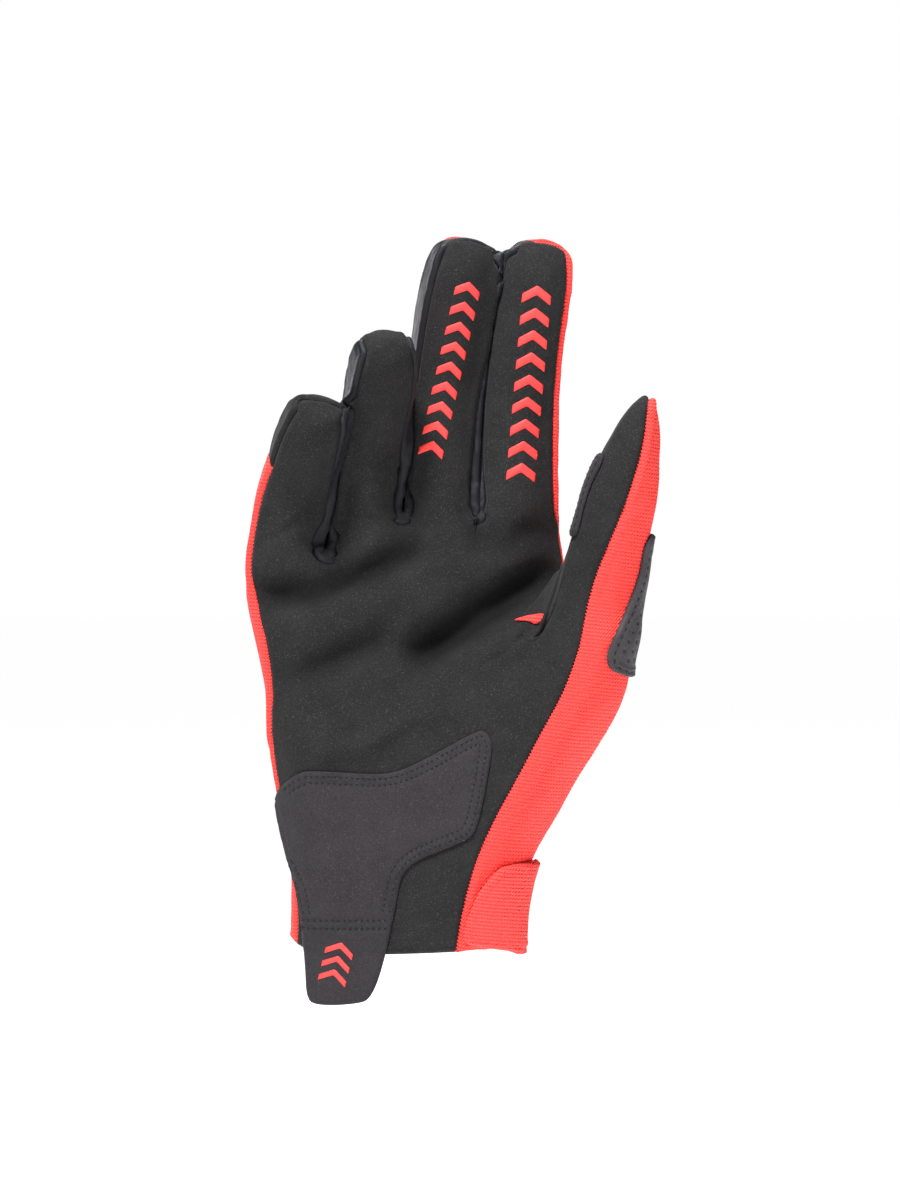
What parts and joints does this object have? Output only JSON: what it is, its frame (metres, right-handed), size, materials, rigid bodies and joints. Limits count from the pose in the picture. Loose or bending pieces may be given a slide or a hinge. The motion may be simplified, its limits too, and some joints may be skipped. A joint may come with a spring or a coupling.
{
  "type": "motocross glove",
  "caption": "Right-hand motocross glove with suede palm, red knit back and thumb side, heel patch with pull tab, wrist strap and thumb pad, open at the wrist and shaped as worn.",
  "frame": {"origin": "centre of the wrist mouth", "axes": "+Z from the wrist mouth to the fingertips, -Y out of the palm, +X across the palm towards the thumb"},
  "size_m": [0.1256, 0.0652, 0.2353],
  "materials": {
    "suede": "matte black suede",
    "stretch_fabric": "black stretch weave",
    "grey_suede": "dark grey suede",
    "moulded_pad": "matte dark grey",
    "red_knit": "ribbed bright red knit",
    "red_strap": "brushed bright red band"
  },
  "bodies": {
    "root": {"palm_panel": "suede", "pinky_tip_panel": "suede", "back_panel": "red_knit", "thumb_side_panel": "red_knit", "fourchette_pinky_ring": "stretch_fabric", "fourchette_ring_middle": "stretch_fabric", "fourchette_middle_index": "stretch_fabric", "heel_patch": "grey_suede", "thumb_grip_patch": "grey_suede", "wrist_strap": "red_strap", "thumb_knuckle_pad": "moulded_pad"}
  },
  "joints": []
}
